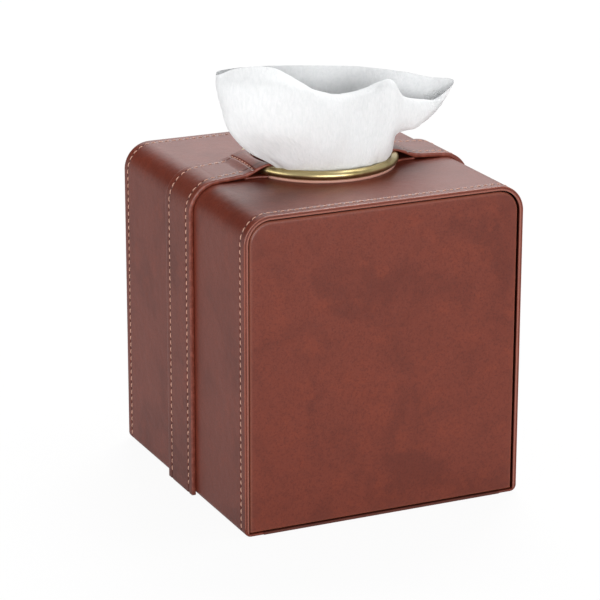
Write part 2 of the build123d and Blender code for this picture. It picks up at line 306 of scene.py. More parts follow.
def panel_wear_and_highlight(hide):
    """Lighter round the edge of a panel, where its face turns back: partly wear, partly a painted highlight."""
    from_middle, face = hide.y.size(), abs(panel_low.y)
    return (from_middle.between(face - 1.2 * MM, face - 0.7 * MM)
            - from_middle.between(face - 0.4 * MM, face - 0.05 * MM))


def panel_gap_shade(hide):
    """The side of a panel inside the gap, darkened as painted shade."""
    face = abs(panel_low.y)
    return 1.0 - hide.y.size().between(face - 1.7 * MM, face - 0.8 * MM)


def strap_wear_and_highlight(hide):
    """Lighter along the strap's two long edges: partly wear, partly a painted highlight."""
    return hide.y.size().between((strap_half - 0.7) * MM, strap_half * MM)


wrap_leather = leather("wrap leather", rim_wear_and_highlight, row=half_d - stitch_inset)
panel_leather = leather("panel leather", panel_wear_and_highlight, wear_and_highlight_share=0.35, gap_shade_mask=panel_gap_shade)
strap_leather = leather("strap leather", strap_wear_and_highlight, ground=(112, 50, 35), row=strap_row)
facing_leather = leather("facing leather", facing_wear_and_highlight, edge=(150, 92, 78), wear_and_highlight_share=0.8, gap_shade_mask=facing_gap_shade)
print("four leathers")

# %% [markdown]
# ## Painted edges, thread and brass
# The straps' cut sides are sealed with red-brown edge paint. The thread is waxed beige polyester
# with a tight twist. The ring is cast brass, brushed along its wire and lacquered satin: the
# brushing runs round the ring, so its noise is looked up by angle and not by place.

# %% Edge paint and thread
paint = Finish("edge paint", specular_ior_level=0.5)
runs = paint.cloud(420, 4)
paint.set(base_color=paint.blend(tint(122, 58, 44), tint(150, 80, 64), runs.between(0.4, 0.7)),
          roughness=0.24 + 0.16 * runs, normal=paint.press(paint.cloud(900, 3), 0.00006))
edge_paint = paint.material

waxed = Finish("beige thread", specular_ior_level=0.35)
twist = waxed.cloud(1500, 2)
fibre = waxed.cloud(5200, 3)
waxed.set(base_color=waxed.blend(tint(224, 180, 160), tint(190, 134, 114), fibre.between(0.4, 0.7)),
          roughness=0.58 + 0.15 * fibre, normal=waxed.press(twist + fibre, 0.00007))
thread = waxed.material
print("edge paint and thread")

# %% Satin brass
cast = Finish("satin brass", metallic=1.0)
radius = cast.add("ShaderNodeVectorMath", {"operation": "LENGTH"},
                  {0: cast.add("ShaderNodeCombineXYZ", sockets={"X": cast.x, "Y": cast.y})},
                  take="Value")
angle = cast.x.sum("ARCTAN2", cast.y, cast.x)
brushed = cast.add("ShaderNodeCombineXYZ", sockets={
    "X": angle * (ring_r * MM * 0.05), "Y": radius, "Z": cast.z})
lines = cast.cloud(5200, 4, 0.7, place=brushed)
dull = cast.cloud(90, 4, 0.6)
brass_colour = cast.blend(tint(188, 172, 126), tint(152, 136, 90), dull.between(0.42, 0.7))
brass_colour = cast.blend(brass_colour, tint(218, 206, 164), lines.between(0.55, 0.8) * 0.3)
cast.set(base_color=brass_colour, roughness=0.24 + 0.10 * lines + 0.08 * dull,
         normal=cast.press(lines, 0.000015))
brass = cast.material
print("satin brass")

# %% [markdown]
# ## The materials inside
# Suede, board, foam, batten wood and steel show when the drawer is out. Each gets the mark
# of how it is made: suede its short nap, board its pressed fibre and flecks, pine its growth
# rings, steel its turned face.

# %% Suede, board, wood, steel and the underside
nap = Finish("suede", specular_ior_level=0.15, sheen_weight=0.6, sheen_roughness=0.5)
brush = nap.cloud(60, 4, 0.6, twist=1.2)
hairs = nap.cloud(2400, 4, 0.75)
nap.set(base_color=nap.blend(nap.blend(tint(112, 92, 76), tint(134, 112, 93), brush.between(0.4, 0.65)),
                             tint(84, 68, 55), hairs.between(0.5, 0.75) * 0.6),
        roughness=0.92, normal=nap.press(hairs + 0.5 * brush, 0.00016))
suede = nap.material


def pressed_board(name, light, dark):
    """Grey or brown board: long fibres pressed flat, with a few dark flecks."""
    pulp = Finish(name, specular_ior_level=0.25)
    fibres = pulp.cloud(700, 6, 0.75, place=pulp.stretched(1.0, 0.35, 1.0))
    flecks = pulp.cloud(1900, 2)
    colour = pulp.blend(tint(*light), tint(*dark), fibres.between(0.38, 0.7))
    colour = pulp.blend(colour, tint(70, 62, 52), flecks.between(0.68, 0.76) * 0.7)
    pulp.set(base_color=colour, roughness=0.85 + 0.1 * fibres, normal=pulp.press(fibres, 0.00012))
    return pulp.material


board = pressed_board("grey board", (158, 148, 132), (128, 118, 102))
tray_board = pressed_board("brown tray board", (112, 84, 66), (84, 60, 46))

pine = Finish("batten pine", specular_ior_level=0.3)
rings = pine.add("ShaderNodeTexWave", {"wave_type": "RINGS", "rings_direction": "Y"},
                 {"Vector": pine.stretched(1.0, 0.12, 1.0), "Scale": 260.0, "Distortion": 5.0,
                  "Detail": 3.0, "Detail Scale": 2.0})
streaks = pine.cloud(500, 4, place=pine.stretched(1.0, 0.06, 1.0))
pine.set(base_color=pine.blend(pine.blend(tint(206, 170, 122), tint(172, 126, 78), rings),
                               tint(140, 98, 60), streaks.between(0.55, 0.8) * 0.5),
         roughness=0.55 + 0.15 * streaks, normal=pine.press(rings + streaks, 0.00008))
batten_wood = pine.material

turned = Finish("turned steel", metallic=1.0)
marks = turned.cloud(2600, 3, place=turned.stretched(1.0, 0.2, 1.0))
turned.set(base_color=turned.blend(tint(178, 178, 176), tint(140, 138, 134), marks.between(0.4, 0.7)),
           roughness=0.28 + 0.2 * marks, normal=turned.press(marks, 0.00002))
steel = turned.material

foam = Finish("foam", specular_ior_level=0.2)
bubbles = foam.cells(1300)
foam.set(base_color=foam.blend(tint(226, 214, 186), tint(188, 172, 140), bubbles.between(0.2, 0.8)),
         roughness=0.95, normal=foam.press(bubbles, 0.0003))
foam_pad = foam.material


def flat_wear(hide):
    """Hardly any wear, from noise alone."""
    return hide.cloud(120, 4).between(0.62, 0.8) * 0.4


underside = leather("underside leather", flat_wear, ground=(96, 46, 35), shade=(74, 33, 25),
                    warm=(90, 50, 40), edge=(120, 82, 68))
collar_leather = leather("collar leather", flat_wear)


def seat_edge_highlight(hide):
    """Lighter round the washer's outer edge, which stands out below the ring: a painted highlight."""
    radius = hide.x * hide.x + hide.y * hide.y
    return radius.sum("SQRT", radius).between((seat_high.x - 0.75) * MM, (seat_high.x - 0.3) * MM)


# Painted highlight: the washer's outer edge is tinted near white.
seat_leather = leather("seat leather", seat_edge_highlight, edge=(228, 176, 158), wear_and_highlight_share=0.9)
print("inside finishes")

# %% [markdown]
# ## Tissue paper
# Two plies of soft paper, creped on the drying roll: close little ridges that run up the
# sheet, and a patch of embossed dots near the edge that holds the plies together. It scatters
# light rather than shining, so it has hardly any gloss and a faint sheen at flat angles. The
# ridges are looked up on the sheet's own map, so that they follow it round every fold.

# %% White tissue
ply = Finish("white tissue", specular_ior_level=0.12, sheen_weight=0.25, sheen_roughness=0.6)
pulp_spots = ply.cloud(2200, 3)
sheet_map = ply.add("ShaderNodeTexCoord", take="UV")
ridges = ply.add("ShaderNodeVectorMath", {"operation": "MULTIPLY"}, {0: sheet_map, 1: (3.6, 0.8, 1.0)})
crepe = ply.cloud(1.0, 4, 0.65, place=ridges, twist=0.6)
across, along, _ = ply.split(sheet_map)
dot_places = ply.add("ShaderNodeVectorMath", {"operation": "MULTIPLY"}, {0: sheet_map, 1: (3.3, 2.0, 1.0)})
dots = ply.add("ShaderNodeTexVoronoi", {"feature": "F1"},
               {"Vector": dot_places, "Scale": 1.0, "Randomness": 0.0})
on_lobe = across.between(29.0, 31.0) - across.between(38.0, 40.0)
near_edge = (along.between(18.6, 19.4) - along.between(26.0, 27.0)) * on_lobe
embossed = (1.0 - dots.between(0.12, 0.36)) * near_edge
creases = ply.cloud(260, 3, 0.55, place=ply.stretched(1.0, 1.0, 0.35), twist=0.8)
tissue_bump = ply.press(creases, 0.0005)
tissue_bump = ply.press(crepe + 0.15 * pulp_spots, 0.0004, tissue_bump)
tissue_bump = ply.press(embossed, -0.0003, tissue_bump)
ply.set(base_color=ply.blend(tint(238, 239, 240), tint(231, 233, 234), crepe.between(0.35, 0.7)),
        roughness=0.85 + 0.1 * pulp_spots, normal=tissue_bump)
tissue_paper = ply.material
print("tissue")

# %% [markdown]
# ## From points to a piece
# Most pieces here are skins: rows of points that are joined to the next row. One helper
# makes such a skin, closes it where it should be closed, gives it its finish, and lets it
# ride on its body.

# %% Mesh helpers
def piece(name, points, faces, body, slot, *finishes, places=None, smooth=True):
    """A mesh piece from points in millimetres, riding on a body."""
    mesh = bpy.data.meshes.new(name)
    mesh.from_pydata([tuple(v * MM for v in point) for point in points], [], faces)
    made = bpy.data.objects.new(name, mesh)
    bpy.context.scene.collection.objects.link(made)
    for finish in finishes:
        mesh.materials.append(finish)
    for face in mesh.polygons:
        face.use_smooth = smooth
        if places:
            face.material_index = places[face.index]
    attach(made, body)
    return made


def skin(rows, ring_rows=False, ring_columns=True, caps=True):
    """Points and faces of rows of equal length, each joined to the next."""
    wide = len(rows[0])
    points = [point for row in rows for point in row]
    faces = []
    for row in range(len(rows) - (0 if ring_rows else 1)):
        below, over = row * wide, ((row + 1) % len(rows)) * wide
        for column in range(wide - (0 if ring_columns else 1)):
            after = (column + 1) % wide
            faces.append((below + column, below + after, over + after, over + column))
    if caps and ring_columns and not ring_rows:
        faces.append(tuple(reversed(range(wide))))
        faces.append(tuple(range(len(points) - wide, len(points))))
    return points, faces


def tidy(made):
    """Merge doubled points and turn all faces outwards."""
    work = bmesh.new()
    work.from_mesh(made.data)
    bmesh.ops.remove_doubles(work, verts=work.verts, dist=0.00001)
    bmesh.ops.recalc_face_normals(work, faces=work.faces)
    work.to_mesh(made.data)
    work.free()
    return made


def line(start, end, out, step):
    """Stations (x, z, out x, out z) along a straight run."""
    count = max(1, round(hypot(end[0] - start[0], end[1] - start[1]) / step))
    return [(start[0] + (end[0] - start[0]) * k / count, start[1] + (end[1] - start[1]) * k / count,
             out[0], out[1]) for k in range(count)]


def bend(centre, radius, start, end, step):
    """Stations round an arc, whose outward side is away from its centre."""
    count = max(3, round(abs(radians(end - start)) * radius / step))
    turns = [radians(start + (end - start) * k / count) for k in range(count)]
    return [(centre[0] + radius * cos(t), centre[1] + radius * sin(t), cos(t), sin(t)) for t in turns]


print("mesh helpers ready")

# %% [markdown]
# ## The cover
# The cover is one piece of leather bent round the case, so it is modelled as its cross
# section carried along the case's outline. The section has the rounded rims and a shallow
# channel where the thread pulls the leather down. The channel is deeper at each needle hole,
# which is what makes the leather pucker between the stitches.

# %% Outline of the case
stitch_pitch = 3.4
fine = stitch_pitch / 5


def case_outline(step):
    """Stations from the left hem over the top to the right hem, on the outer leather."""
    hem_x = half_w - hem_w
    return (
        line((-hem_x, 0), (-foot_x, 0), (0, -1), step)
        + bend((-foot_x, foot_r), foot_r, -90, -180, step)
        + line((-half_w, foot_r), (-half_w, corner_z), (-1, 0), step)
        + bend((-corner_x, corner_z), corner_r, 180, 90, step)
        + line((-corner_x, box_top), (corner_x, box_top), (0, 1), step)
        + bend((corner_x, corner_z), corner_r, 90, 0, step)
        + line((half_w, corner_z), (half_w, foot_r), (1, 0), step)
        + bend((foot_x, foot_r), foot_r, 0, -90, step)
        + line((foot_x, 0), (hem_x, 0), (0, -1), step)
        + [(hem_x, 0, 0, -1)]
    )


def run_length(stations):
    """Distance along the stations, one value for each."""
    along = [0.0]
    for before, after in zip(stations, stations[1:]):
        along.append(along[-1] + hypot(after[0] - before[0], after[1] - before[1]))
    return along


def dip(gap, share):
    """Depth of the stitched channel at a distance from its middle; share is 1 at a hole."""
    return -(0.20 + 0.14 * share) * max(0.0, 1 - (gap / 0.85) ** 2) ** 1.5


outline = case_outline(fine)
along_outline = run_length(outline)
print(len(outline), "stations,", round(along_outline[-1], 1), "mm of outline")

# %% Section of the cover and its skin
def cover_section():
    """Places (y, out) round the section: over the outside and back along the inside."""
    roll = [(0.14, -1.06), (0.03, -0.98), (0.0, -0.85), (0.0, -0.5), (0.05, -0.31), (0.16, -0.16),
            (0.34, -0.06), (0.6, -0.015), (1.0, 0.0)]
    channel = [(stitch_inset + shift, 0.0)
               for shift in (-1.3, -0.85, -0.6, -0.35, 0.0, 0.35, 0.6, 0.85, 1.3)]
    front = roll + channel
    middle = [(8.0 + (2 * half_d - 16.0) * k / 22, 0.0) for k in range(23)]
    rear = [(2 * half_d - inset, out) for inset, out in reversed(front)]
    inside = [(2 * half_d - 0.4, -cover_t), (2 * half_d - 8, -cover_t), (8.0, -cover_t), (0.4, -cover_t)]
    return front + middle + rear + inside


cover_rows = []
for station, reach in zip(outline, along_outline):
    x, z, out_x, out_z = station
    share = 0.5 + 0.5 * cos(2 * pi * reach / stitch_pitch)
    row = []
    for inset, out in cover_section():
        from_edge = min(inset, 2 * half_d - inset)
        lift = out + (dip(from_edge - stitch_inset, share) if out == 0.0 else 0.0)
        row.append((x + out_x * lift, inset - half_d, z + out_z * lift))
    cover_rows.append(row)
cover = piece("cover_leather", *skin(cover_rows), "case", "leather", wrap_leather)
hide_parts("outer_cover")
print("cover:", len(cover.data.polygons), "faces")

# %% [markdown]
# The round mouth is cut through the cover with a Boolean, the quickest exact way to put a
# round hole in a finished skin. The washer and the straps hide its edge.

# %% Cut the mouth
def cut_round(target, radius, low, high):
    """Cut an upright round hole through a piece."""
    bpy.ops.mesh.primitive_cylinder_add(vertices=128, radius=radius * MM, depth=(high - low) * MM,
                                        location=(0, 0, (high + low) / 2 * MM))
    cutter = bpy.context.object
    hole = target.modifiers.new("mouth", "BOOLEAN")
    hole.operation, hole.solver, hole.object = "DIFFERENCE", "EXACT", cutter
    graph = bpy.context.evaluated_depsgraph_get()
    cut = bpy.data.meshes.new_from_object(target.evaluated_get(graph), depsgraph=graph)
    target.modifiers.clear()
    target.data = cut
    bpy.data.objects.remove(cutter)


cut_round(cover, mouth_r + facing_t, box_top - 8, box_top + 8)
print("mouth cut, radius", round(mouth_r + facing_t, 2))

# %% [markdown]
# ## The panels
# The drawer's front and the fixed back are the same: leather drawn over thin foam and board,
# so the face is very slightly crowned and its edge is soft. The skin is built from outlines
# that shrink towards the middle, because the same outline then serves the side, the rounded
# edge and the face.

# %% Front and back panel leather
panel_foot, panel_top = panel_low.z / MM, panel_high.z / MM
panel_gap = 0.7
panel_half, panel_r = panel_high.x / MM, corner_r - cover_t - facing_t - panel_gap
panel_face, panel_rear = panel_low.y / MM, panel_high.y / MM


def panel_outline(inset):
    """A closed outline, square at the foot and round at the top, shrunk by inset."""
    half, foot, top = panel_half - inset, panel_foot + inset, panel_top - inset
    radius = max(panel_r - inset, 0.6)
    middle = (foot + top) / 2
    foot_r = 0.5
    points = []
    for cx, cz, start, rounding in ((half, top, 0, radius), (-half, top, 90, radius),
                                    (-half, foot, 180, foot_r), (half, foot, 270, foot_r)):
        side = 1 if cx > 0 else -1
        rise = 1 if cz > middle else -1
        for k in range(11):
            t = radians(start + 9 * k)
            points.append((cx - side * rounding + rounding * cos(t),
                           cz - rise * rounding + rounding * sin(t)))
    full = []
    for k, point in enumerate(points):
        after = points[(k + 1) % len(points)]
        pieces = 24 if k % 11 == 10 else 1
        full += [(point[0] + (after[0] - point[0]) * m / pieces,
                  point[1] + (after[1] - point[1]) * m / pieces) for m in range(pieces)]
    return full


def panel_skin(name, node, body, toward, finish):
    """Leather of a panel; toward is -1 for the front and 1 for the back."""
    edge = 1.4
    levels = [(1.0, panel_face + 2.2), (1.0, panel_rear), (0.25, panel_rear), (0.0, panel_rear - 0.25)]
    levels += [(0.0, panel_face + edge + 1.2), (0.0, panel_face + edge)]
    for k in range(1, 9):
        t = radians(90 * k / 8)
        levels.append((edge * (1 - cos(t)), panel_face + edge * (1 - sin(t)) * 0.92 + 0.11))
    for inset in (2.2, 3.4, 5, 7, 9.5, 13, 18, 24, 31, 39, 47, 55, 62):
        crown = 0.11 * max(0.0, 1 - inset / 16) ** 2 + 0.05 * noise.noise(Vector((inset, 0, 3)))
        levels.append((inset, panel_face + crown))
    shift = (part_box(node)[1].y / MM + panel_face) if toward > 0 else 0.0
    rows = []
    for inset, y in levels:
        rows.append([(x, (y if toward < 0 else -y + shift), z) for x, z in panel_outline(inset)])
    made = tidy(piece(name, *skin(rows), body, "leather", finish))
    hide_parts(node)
    return made


front_panel = panel_skin("front_panel_leather", "drawer_front_leather", "drawer", -1, panel_leather)
rear_panel = panel_skin("rear_panel_leather", "back_panel_leather", "case", 1, panel_leather)
print("panels:", len(front_panel.data.polygons), "faces each")

# %% [markdown]
# ## The straps
# Each strap is a band 28 mm wide and 2 mm thick. It climbs the wall, bends over the corner,
# runs along the top and is pared thinner where it goes round the ring, comes back under
# itself and is sewn down. The ring is round, so the turn sits further out at the strap's
# middle than at its edges: the band's line is worked out anew for every place across it.

# %% The strap's line
loop_t, loop_gap = 1.0, 0.1
loop_r = wire_r + loop_gap + loop_t
tail_top = box_top + loop_t
flat_z = tail_top + strap_t
loop_foot_x = ring_r + wire_r + 5.1
lift_x = loop_foot_x + 2.0
down_end, down_start = loop_foot_x + 2.2, corner_x + 1.5
strap_foot = strap_low.z / MM


def ease(value):
    value = min(1.0, max(0.0, value))
    return value * value * (3 - 2 * value)


def strap_line(y):
    """Stations (x, z, out x, out z, thickness) of the right strap's outside at y."""
    x = sqrt(ring_r ** 2 - min(abs(y), strap_half) ** 2)
    away, up = lift_x - x, flat_z - ring_z
    angle = degrees(atan2(up, away) + acos(loop_r / hypot(away, up)))
    wall = [(half_w + strap_t, strap_foot + (corner_z - strap_foot) * k / 190, 1, 0, strap_t)
            for k in range(190)]
    corner = [(s[0], s[1], s[2], s[3], strap_t)
              for s in bend((corner_x, corner_z), corner_r + strap_t, 0, 90, 22.8 / 34)][:34]
    top = []
    for k in range(21):
        px = corner_x - (corner_x - lift_x) * k / 20
        lift = min(1.0, (down_start - px) / (down_start - down_end)) if k else 0.0
        top.append((px, box_top + strap_t + (flat_z - box_top - strap_t) * lift, 0, 1, strap_t))
    turn_start = (x + loop_r * cos(radians(angle)), ring_z + loop_r * sin(radians(angle)))
    start = (top[-1][0], top[-1][1])
    climb = []
    for k in range(1, 30):
        t = k / 30
        px = start[0] + (turn_start[0] - start[0]) * t
        pz = start[1] + (turn_start[1] - start[1]) * (0.35 * ease(t) + 0.65 * t)
        climb.append((px, pz, cos(radians(90 + (angle - 90) * t)), sin(radians(90 + (angle - 90) * t)),
                      strap_t + (loop_t - strap_t) * ease(t)))
    loop = []
    for k in range(25):
        t = radians(angle + (270 - angle) * k / 24)
        loop.append((x + loop_r * cos(t), ring_z + loop_r * sin(t), cos(t), sin(t), loop_t))
    tail = [(x + (loop_foot_x + 1.2 - x) * k / 12, box_top, 0, -1, loop_t) for k in range(1, 13)]
    return wall + corner + top + climb + loop + tail


print("strap line:", len(strap_line(0)), "stations")

# %% The strap's section
seam_x = ring_r + wire_r + 2.2


def strap_section():
    """Places (y, in, paint) round the section; in is a share of the thickness."""
    half, edge = strap_half, 0.55
    outside = [(-half + edge, 0.0), (-12.4, 0.0), (-11.2, 0.0)]
    outside += [(-strap_row + shift, 0.0) for shift in (-1.1, -0.8, -0.5, 0.0, 0.5, 0.8, 1.1)]
    outside += [(-8.0 + 16.0 * k / 10, 0.0) for k in range(11)]
    outside += [(strap_row + shift, 0.0) for shift in (-1.1, -0.8, -0.5, 0.0, 0.5, 0.8, 1.1)]
    outside += [(11.2, 0.0), (12.4, 0.0), (half - edge, 0.0)]
    right_side = [(half - edge * 0.5, 0.03), (half - 0.12, 0.12), (half, 0.3), (half, 0.72),
                  (half - 0.1, 0.9), (half - 0.4, 1.0)]
    inside = [(half - 4 - (2 * half - 8) * k / 8, 1.0) for k in range(9)]
    left_side = [(-y, share) for y, share in reversed(right_side)]
    painted = len(outside), len(outside) + len(right_side)
    section = outside + right_side + inside + left_side
    marks = [1 if (painted[0] <= k < painted[1] - 1) or k >= painted[1] + len(inside) else 0
             for k in range(len(section))]
    return section, marks


cross_pitch = 2.7


def strap_piece(name, node, side):
    section, marks = strap_section()
    lines = [strap_line(y) for y, _ in section]
    along = run_length([(s[0], s[1]) for s in strap_line(0)])
    rows = []
    for k in range(len(lines[0])):
        hole = 0.5 + 0.5 * cos(2 * pi * along[k] / stitch_pitch)
        row = []
        for (y, share), stations in zip(section, lines):
            x, z, out_x, out_z, thick = stations[k]
            sink = share * thick
            if share == 0.0 and out_z >= 0 and x > seam_x:
                sink -= dip(min(abs(y - strap_row), abs(y + strap_row)), hole)
            if share <= 0.12 and out_z > 0:
                sink -= 1.3 * dip(x - seam_x, 0.5 + 0.5 * cos(2 * pi * y / cross_pitch))
            narrow = 1 - 0.09 * ease((k - len(lines[0]) + 12) / 5)
            row.append((side * (x - out_x * sink), y * narrow, z - out_z * sink))
        rows.append(row)
    points, faces = skin(rows)
    places = [marks[k % len(marks)] for k in range(len(faces) - 2)] + [1, 1]
    made = piece(name, points, faces, "case", "strap_leather", strap_leather, edge_paint, places=places)
    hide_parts(node)
    return tidy(made)


right_band = strap_piece("right_strap_band", "right_strap", 1)
left_band = strap_piece("left_strap_band", "left_strap", -1)
print("strap bands:", len(right_band.data.polygons), "faces each")

# %% [markdown]
# ## Stitches
# A saddle stitch shows as a row of short, slightly slanted bits of thread that dive into the
# leather at both ends. Each is a small capsule that follows the surface, fattest in the
# middle and sunk at the ends. All stitches of a row are one mesh.

# %% One stitch and a row of them
def stitch(centre, ahead, side, out, length, slant, wide=0.29):
    """Rings of points of one stitch."""
    ahead = (ahead * cos(slant) + side * sin(slant)).normalized()
    side = out.cross(ahead).normalized()
    rows = []
    for k in range(7):
        t = -1 + k / 3
        girth = wide * sqrt(max(0.02, 1 - abs(t) ** 3.2))
        lift = 0.10 - 0.42 * abs(t) ** 3
        middle = centre + ahead * (t * length / 2) + out * lift
        rows.append([tuple(middle + side * (girth * cos(a)) + out * (girth * 0.85 * sin(a)))
                     for a in (2 * pi * m / 8 for m in range(8))])
    return rows


def stitch_row(name, body, places):
    """One mesh of many stitches; places are (centre, ahead, side, out, length, slant)."""
    points, faces = [], []
    for place in places:
        more, joined = skin(stitch(*place))
        faces += [tuple(v + len(points) for v in face) for face in joined]
        points += more
    return piece(name, points, faces, body, "leather", thread)


def station_at(reach, along, stations):
    """Place and outward direction at a distance along a run of stations."""
    for k, value in enumerate(along):
        if value >= reach:
            break
    share = (reach - along[k - 1]) / max(along[k] - along[k - 1], 1e-6)
    return [p + (q - p) * share for p, q in zip(stations[k - 1], stations[k])]


def rim_stitches(name, y, lean):
    """Stitches along a rim, from the base over the top to the base."""
    places = []
    first = floor((hem_w + 1.0) / stitch_pitch) + 1
    last = floor((along_outline[-1] - hem_w - 1.0) / stitch_pitch)
    chance = random.Random(7 if y < 0 else 8)
    for count in range(first, last):
        x, z, out_x, out_z = station_at((count + 0.5) * stitch_pitch, along_outline, outline)
        out = Vector((out_x, 0, out_z)).normalized()
        ahead = Vector((out.z, 0, -out.x))
        centre = Vector((x, y + chance.uniform(-0.05, 0.05), z)) - out * 0.14
        places.append((centre, ahead, Vector((0, 1, 0)), out, stitch_pitch * chance.uniform(0.74, 0.82),
                       lean * radians(chance.uniform(7, 12))))
    return stitch_row(name, "case", places)


front_row = rim_stitches("front_rim_stitches", stitch_inset - half_d, 1)
rear_row = rim_stitches("rear_rim_stitches", half_d - stitch_inset, -1)
print("rim rows made")

# %% Stitches on the straps
def strap_stitches(name, side):
    """Two rows along a strap and one across it, just outside the ring."""
    chance = random.Random(11 + side)
    places = []
    for y in (-strap_row, strap_row):
        stations = strap_line(y)
        along = run_length([(s[0], s[1]) for s in stations])
        last = next(reach for s, reach in zip(stations, along) if s[0] < seam_x and s[1] > box_top)
        count = int((last - 1.2) / stitch_pitch)
        for k in range(1, count):
            x, z, out_x, out_z, _ = station_at((k + 0.5) * stitch_pitch, along, stations)
            out = Vector((side * out_x, 0, out_z)).normalized()
            ahead = Vector((out.z, 0, -out.x)) * side
            centre = Vector((side * x, y, z)) - out * 0.14
            places.append((centre, ahead, Vector((0, 1, 0)), out, stitch_pitch * chance.uniform(0.74, 0.82),
                           radians(chance.uniform(6, 11)) * (1 if y < 0 else -1)))
    for k in range(-4, 5):
        y = k * cross_pitch
        x, z, out_x, out_z, _ = next(s for s in strap_line(y) if s[0] < seam_x and s[1] > box_top)
        out = Vector((side * out_x, 0, out_z)).normalized()
        centre = Vector((side * x, y, z)) - out * 0.32
        places.append((centre, Vector((0, 1, 0)), out.cross(Vector((0, 1, 0))), out, cross_pitch * 0.72,
                       radians(chance.uniform(-6, 6)), 0.26))
    return stitch_row(name, "case", places)


right_rows = strap_stitches("right_strap_stitches", 1)
left_rows = strap_stitches("left_strap_stitches", -1)
print("strap rows made")

# %% [markdown]
# ## The ring and its seat
# The ring is a plain torus of brass wire. Under it lies a leather washer with rounded edges, parted where the straps'
# tails pass. Its radius reaches a little past the wire on both sides, and its outer edge is painted light as a
# highlight, which gives the light line of leather below the ring.

# %% Ring
ring_rows = []
for k in range(160):
    a = 2 * pi * k / 160
    ring_rows.append([((ring_r + wire_r * cos(b)) * cos(a), (ring_r + wire_r * cos(b)) * sin(a),
                       ring_z + wire_r * sin(b)) for b in (2 * pi * m / 28 for m in range(28))])
ring = tidy(piece("brass_ring", *skin(ring_rows, ring_rows=True), "case", "brass", brass))
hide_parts("ring")
print("ring:", len(ring.data.polygons), "faces")

# %% Washer
def washer_half(side):
    """One half of the washer, front (-1) or rear (1), as rows of points."""
    outer, gap_y = seat_high.x, strap_half + loop_gap
    low, high = seat_low.z, seat_high.z
    soft = 0.4
    section = [(mouth_r, low), (mouth_r, high - soft), (mouth_r + 0.12, high - 0.12),
               (mouth_r + soft, high), (ring_r, high), (outer - soft, high),
               (outer - 0.12, high - 0.12), (outer, high - soft), (outer, low)]
    rows = []
    for k in range(61):
        row = []
        for reach, z in section:
            start = asin(gap_y / reach)
            a = start + (pi - 2 * start) * k / 60
            row.append((reach * cos(a), side * reach * sin(a), z))
        rows.append(row)
    return rows


washer_points, washer_faces = skin(washer_half(-1))
more_points, more_faces = skin(washer_half(1))
washer_faces += [tuple(v + len(washer_points) for v in face) for face in more_faces]
washer = tidy(piece("ring_washer", washer_points + more_points, washer_faces, "case", "leather",
                    seat_leather))
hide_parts("ring_seat")
print("washer:", len(washer.data.polygons), "faces")

# %% [markdown]
# ## The pile of tissues
# The pile is a stack of interleaved folds, so its sides show the edges of many thin layers.
# A block with one outline for every layer, pushed in and out a little, gives those edges.

# %% Tissue pile
pile_low, pile_high = (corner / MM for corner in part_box("tissue_pile"))


def pile_outline(shrink, z):
    corner = 3.0
    points = []
    for sx, sy, start in ((1, 1, 0), (-1, 1, 90), (-1, -1, 180), (1, -1, 270)):
        cx = (pile_high.x - corner) * sx
        cy = (pile_high.y - corner) if sy > 0 else (pile_low.y + corner)
        for k in range(7):
            a = radians(start + 15 * k)
            points.append((cx + (corner - shrink) * cos(a), cy + (corner - shrink) * sin(a), z))
    return points


layer_t = 1.35
layers = int((pile_high.z - pile_low.z - 4) / layer_t)
chance = random.Random(5)
pile_rows = []
for k in range(layers):
    z = pile_low.z + k * layer_t
    out = chance.uniform(0.0, 0.45)
    pile_rows += [pile_outline(out + 0.4, z), pile_outline(out, z + 0.3 * layer_t),
                  pile_outline(out, z + 0.7 * layer_t)]
top_z = pile_low.z + layers * layer_t
for shrink, share in ((0.5, 0.0), (0.9, 0.55), (1.7, 0.85), (2.6, 1.0)):
    pile_rows.append(pile_outline(shrink, top_z + (pile_high.z - top_z) * share))
pile = piece("folded_tissues", *skin(pile_rows), "drawer", "tissue", tissue_paper)
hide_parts("tissue_pile")
print("pile of", layers, "folds")

# %% [markdown]
# ## The standing tissue
# This is the piece that draws the eye. The sheet is pulled up by its middle: gathered tight
# in the mouth, it opens above into a fold whose front edge dips in the middle and whose right
# end is turned down like a pocket. A cloth solver would not stop at this one shape, so the
# sheet is set out as upright lines round its edge, each from the pile through the neck and
# the belly to the free edge, and a smooth surface is passed through them. Pleats that fade
# towards the edge are pressed in after that.

